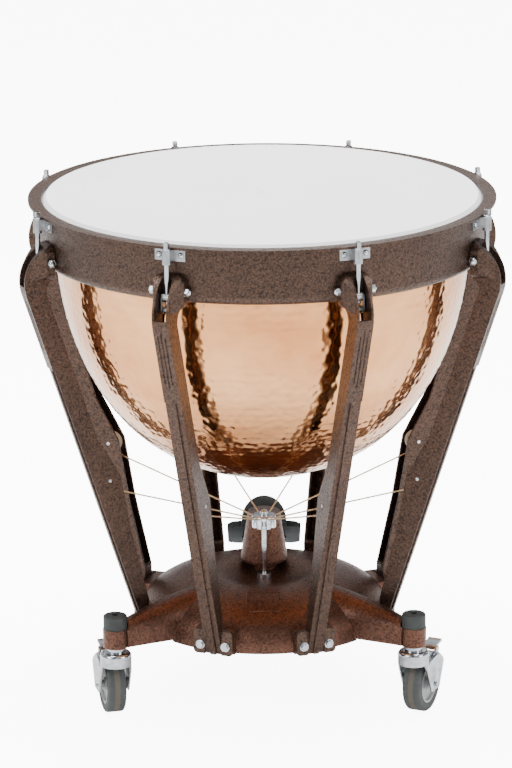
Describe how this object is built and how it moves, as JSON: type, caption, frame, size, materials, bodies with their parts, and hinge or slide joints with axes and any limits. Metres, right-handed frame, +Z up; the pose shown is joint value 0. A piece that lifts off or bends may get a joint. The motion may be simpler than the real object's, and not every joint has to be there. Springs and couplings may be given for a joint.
{
  "type": "pedal timpani",
  "caption": "Pedal-tuned kettledrum with a hammered bowl, tensioned hoop and cable mechanism on a wheeled cast base, for orchestral playing.",
  "frame": {"origin": "on the floor, at the middle of the overall box, which is on the bowl's vertical axis", "axes": "+Z up along the drum's axis towards the head; -Y to the audience side with the base's front panel, +Y to the player's pedal"},
  "size_m": [0.8186, 0.8184, 0.8893],
  "materials": {
    "hammertone_copper": "hammertone lacquer",
    "hoop_grey": "satin",
    "bowl_copper": "hammered copper, lacquered",
    "head_film": "smooth polyester film",
    "bright_steel": "bright plate",
    "zinc_steel": "zinc plate",
    "cast_grey": "grey hammertone",
    "black_rubber": "ribbed",
    "tyre_grey": "satin",
    "wheel_grey": "moulded",
    "wire_rope": "twisted wire",
    "pulley_nylon": "turned",
    "spring_steel": "oiled"
  },
  "bodies": {
    "frame": {"base_casting": "hammertone_copper", "mechanism_tower": "hammertone_copper", "support_ring": "hammertone_copper", "bowl": "bowl_copper", "head_film": "head_film", "front_struts": "hammertone_copper", "side_front_struts": "hammertone_copper", "side_rear_struts": "hammertone_copper", "rear_struts": "hammertone_copper", "strut_top_bolts": "bright_steel", "strut_foot_bolts": "bright_steel", "pull_rod_bush": "zinc_steel", "pivot_shafts": "bright_steel", "pulley_axles": "bright_steel", "arm_caps": "black_rubber", "balance_spring": "spring_steel", "tension_cables": "wire_rope"},
    "hoop_carriage": {"counterhoop": "hoop_grey", "flesh_hoop": "zinc_steel", "rod_clips": "zinc_steel", "clip_screws": "bright_steel", "barrel_nuts": "bright_steel", "clevis_links": "zinc_steel", "clevis_pins": "bright_steel", "cable_eyes": "bright_steel"},
    "pedal": {"pedal_treadle": "cast_grey", "pedal_pad": "black_rubber", "toe_hood": "cast_grey"},
    "pedal_link": {"pedal_link": "zinc_steel"},
    "rocker": {"rocker_lever": "zinc_steel"},
    "pull_rod": {"pull_rod": "bright_steel", "cable_hub": "zinc_steel"},
    "tension_rod_1": {"tension_rod_1": "bright_steel"},
    "cable_pulley_1": {"cable_pulley_1": "pulley_nylon"},
    "tension_rod_2": {"tension_rod_2": "bright_steel"},
    "cable_pulley_2": {"cable_pulley_2": "pulley_nylon"},
    "tension_rod_3": {"tension_rod_3": "bright_steel"},
    "cable_pulley_3": {"cable_pulley_3": "pulley_nylon"},
    "tension_rod_4": {"tension_rod_4": "bright_steel"},
    "cable_pulley_4": {"cable_pulley_4": "pulley_nylon"},
    "tension_rod_5": {"tension_rod_5": "bright_steel"},
    "cable_pulley_5": {"cable_pulley_5": "pulley_nylon"},
    "tension_rod_6": {"tension_rod_6": "bright_steel"},
    "cable_pulley_6": {"cable_pulley_6": "pulley_nylon"},
    "tension_rod_7": {"tension_rod_7": "bright_steel"},
    "cable_pulley_7": {"cable_pulley_7": "pulley_nylon"},
    "tension_rod_8": {"tension_rod_8": "bright_steel"},
    "cable_pulley_8": {"cable_pulley_8": "pulley_nylon"},
    "caster_fork_left": {"caster_fork_left": "bright_steel"},
    "caster_wheel_left": {"caster_wheel_left": "wheel_grey", "caster_tyre_left": "tyre_grey"},
    "caster_brake_left": {"caster_brake_left": "bright_steel"},
    "caster_fork_right": {"caster_fork_right": "bright_steel"},
    "caster_wheel_right": {"caster_wheel_right": "wheel_grey", "caster_tyre_right": "tyre_grey"},
    "caster_brake_right": {"caster_brake_right": "bright_steel"},
    "caster_fork_rear": {"caster_fork_rear": "bright_steel"},
    "caster_wheel_rear": {"caster_wheel_rear": "wheel_grey", "caster_tyre_rear": "tyre_grey"},
    "caster_brake_rear": {"caster_brake_rear": "bright_steel"}
  },
  "joints": [
    {"name": "pedal_swing", "type": "hinge", "parent": "frame", "child": "pedal", "pos_m": [0, 0.252, 0.18], "axis": [1, 0, 0], "range_deg": [0, 20.6]},
    {"name": "link_drop", "type": "slide", "parent": "frame", "child": "pedal_link", "axis": [0, 0, -1], "range_m": [-0.0005, 0.0365]},
    {"name": "rocker_swing", "type": "hinge", "parent": "frame", "child": "rocker", "pos_m": [0, -0.152, 0.145], "axis": [-1, 0, 0], "range_deg": [-0.2, 7], "deforming": ["balance_spring"]},
    {"name": "pull_rod_drop", "type": "slide", "parent": "frame", "child": "pull_rod", "axis": [0, 0, -1], "range_m": [-0.0005, 0.0185], "deforming": ["tension_cables"]},
    {"name": "hoop_drop", "type": "slide", "parent": "frame", "child": "hoop_carriage", "axis": [0, 0, -1], "range_m": [-0.0003, 0.0064]},
    {"name": "rod_turn_1", "type": "hinge", "parent": "hoop_carriage", "child": "tension_rod_1", "pos_m": [0.15575, -0.37602, 0.84], "axis": [0, 0, 1], "continuous": true},
    {"name": "pulley_turn_1", "type": "hinge", "parent": "frame", "child": "cable_pulley_1", "pos_m": [0.11098, -0.26793, 0.408], "axis": [0.9239, 0.3827, 0], "range_deg": [-30, 30]},
    {"name": "rod_turn_2", "type": "hinge", "parent": "hoop_carriage", "child": "tension_rod_2", "pos_m": [0.37602, -0.15575, 0.84], "axis": [0, 0, 1], "continuous": true},
    {"name": "pulley_turn_2", "type": "hinge", "parent": "frame", "child": "cable_pulley_2", "pos_m": [0.26793, -0.11098, 0.408], "axis": [0.3827, 0.9239, 0], "range_deg": [-30, 30]},
    {"name": "rod_turn_3", "type": "hinge", "parent": "hoop_carriage", "child": "tension_rod_3", "pos_m": [0.37602, 0.15575, 0.84], "axis": [0, 0, 1], "continuous": true},
    {"name": "pulley_turn_3", "type": "hinge", "parent": "frame", "child": "cable_pulley_3", "pos_m": [0.26793, 0.11098, 0.408], "axis": [-0.3827, 0.9239, 0], "range_deg": [-30, 30]},
    {"name": "rod_turn_4", "type": "hinge", "parent": "hoop_carriage", "child": "tension_rod_4", "pos_m": [0.15575, 0.37602, 0.84], "axis": [0, 0, 1], "continuous": true},
    {"name": "pulley_turn_4", "type": "hinge", "parent": "frame", "child": "cable_pulley_4", "pos_m": [0.11098, 0.26793, 0.408], "axis": [-0.9239, 0.3827, 0], "range_deg": [-30, 30]},
    {"name": "rod_turn_5", "type": "hinge", "parent": "hoop_carriage", "child": "tension_rod_5", "pos_m": [-0.15575, 0.37602, 0.84], "axis": [0, 0, 1], "continuous": true},
    {"name": "pulley_turn_5", "type": "hinge", "parent": "frame", "child": "cable_pulley_5", "pos_m": [-0.11098, 0.26793, 0.408], "axis": [-0.9239, -0.3827, 0], "range_deg": [-30, 30]},
    {"name": "rod_turn_6", "type": "hinge", "parent": "hoop_carriage", "child": "tension_rod_6", "pos_m": [-0.37602, 0.15575, 0.84], "axis": [0, 0, 1], "continuous": true},
    {"name": "pulley_turn_6", "type": "hinge", "parent": "frame", "child": "cable_pulley_6", "pos_m": [-0.26793, 0.11098, 0.408], "axis": [-0.3827, -0.9239, 0], "range_deg": [-30, 30]},
    {"name": "rod_turn_7", "type": "hinge", "parent": "hoop_carriage", "child": "tension_rod_7", "pos_m": [-0.37602, -0.15575, 0.84], "axis": [0, 0, 1], "continuous": true},
    {"name": "pulley_turn_7", "type": "hinge", "parent": "frame", "child": "cable_pulley_7", "pos_m": [-0.26793, -0.11098, 0.408], "axis": [0.3827, -0.9239, 0], "range_deg": [-30, 30]},
    {"name": "rod_turn_8", "type": "hinge", "parent": "hoop_carriage", "child": "tension_rod_8", "pos_m": [-0.15575, -0.37602, 0.84], "axis": [0, 0, 1], "continuous": true},
    {"name": "pulley_turn_8", "type": "hinge", "parent": "frame", "child": "cable_pulley_8", "pos_m": [-0.11098, -0.26793, 0.408], "axis": [0.9239, -0.3827, 0], "range_deg": [-30, 30]},
    {"name": "caster_swivel_left", "type": "hinge", "parent": "frame", "child": "caster_fork_left", "pos_m": [-0.25563, -0.18234, 0.12], "axis": [0, 0, 1], "continuous": true},
    {"name": "caster_roll_left", "type": "hinge", "parent": "caster_fork_left", "child": "caster_wheel_left", "pos_m": [-0.2641, -0.14838, 0.05], "axis": [-0.9703, -0.2419, 0], "continuous": true},
    {"name": "brake_press_left", "type": "hinge", "parent": "caster_fork_left", "child": "caster_brake_left", "pos_m": [-0.27281, -0.11345, 0.102], "axis": [-0.9703, -0.2419, 0], "range_deg": [0, 12]},
    {"name": "caster_swivel_right", "type": "hinge", "parent": "frame", "child": "caster_fork_right", "pos_m": [0.25563, -0.18234, 0.12], "axis": [0, 0, 1], "continuous": true},
    {"name": "caster_roll_right", "type": "hinge", "parent": "caster_fork_right", "child": "caster_wheel_right", "pos_m": [0.27042, -0.15062, 0.05], "axis": [-0.9063, 0.4226, 0], "continuous": true},
    {"name": "brake_press_right", "type": "hinge", "parent": "caster_fork_right", "child": "caster_brake_right", "pos_m": [0.28564, -0.11799, 0.102], "axis": [-0.9063, 0.4226, 0], "range_deg": [0, 12]},
    {"name": "caster_swivel_rear", "type": "hinge", "parent": "frame", "child": "caster_fork_rear", "pos_m": [0, 0.3, 0.12], "axis": [0, 0, 1], "continuous": true},
    {"name": "caster_roll_rear", "type": "hinge", "parent": "caster_fork_rear", "child": "caster_wheel_rear", "pos_m": [-0.03289, 0.31197, 0.05], "axis": [-0.342, -0.9397, 0], "continuous": true},
    {"name": "brake_press_rear", "type": "hinge", "parent": "caster_fork_rear", "child": "caster_brake_rear", "pos_m": [-0.06672, 0.32428, 0.102], "axis": [-0.342, -0.9397, 0], "range_deg": [0, 12]}
  ],
  "couplings": [
    {"joint": "link_drop", "follows": "pedal_swing", "m_per_rad": 0.10013},
    {"joint": "rocker_swing", "follows": "pedal_swing", "ratio": 0.32931},
    {"joint": "pull_rod_drop", "follows": "pedal_swing", "m_per_rad": 0.05006},
    {"joint": "hoop_drop", "follows": "pedal_swing", "m_per_rad": 0.017244},
    {"joint": "pulley_turn_1", "follows": "pedal_swing", "ratio": 1.043},
    {"joint": "pulley_turn_2", "follows": "pedal_swing", "ratio": 1.043},
    {"joint": "pulley_turn_3", "follows": "pedal_swing", "ratio": 1.043},
    {"joint": "pulley_turn_4", "follows": "pedal_swing", "ratio": 1.043},
    {"joint": "pulley_turn_5", "follows": "pedal_swing", "ratio": 1.043},
    {"joint": "pulley_turn_6", "follows": "pedal_swing", "ratio": 1.043},
    {"joint": "pulley_turn_7", "follows": "pedal_swing", "ratio": 1.043},
    {"joint": "pulley_turn_8", "follows": "pedal_swing", "ratio": 1.043}
  ]
}
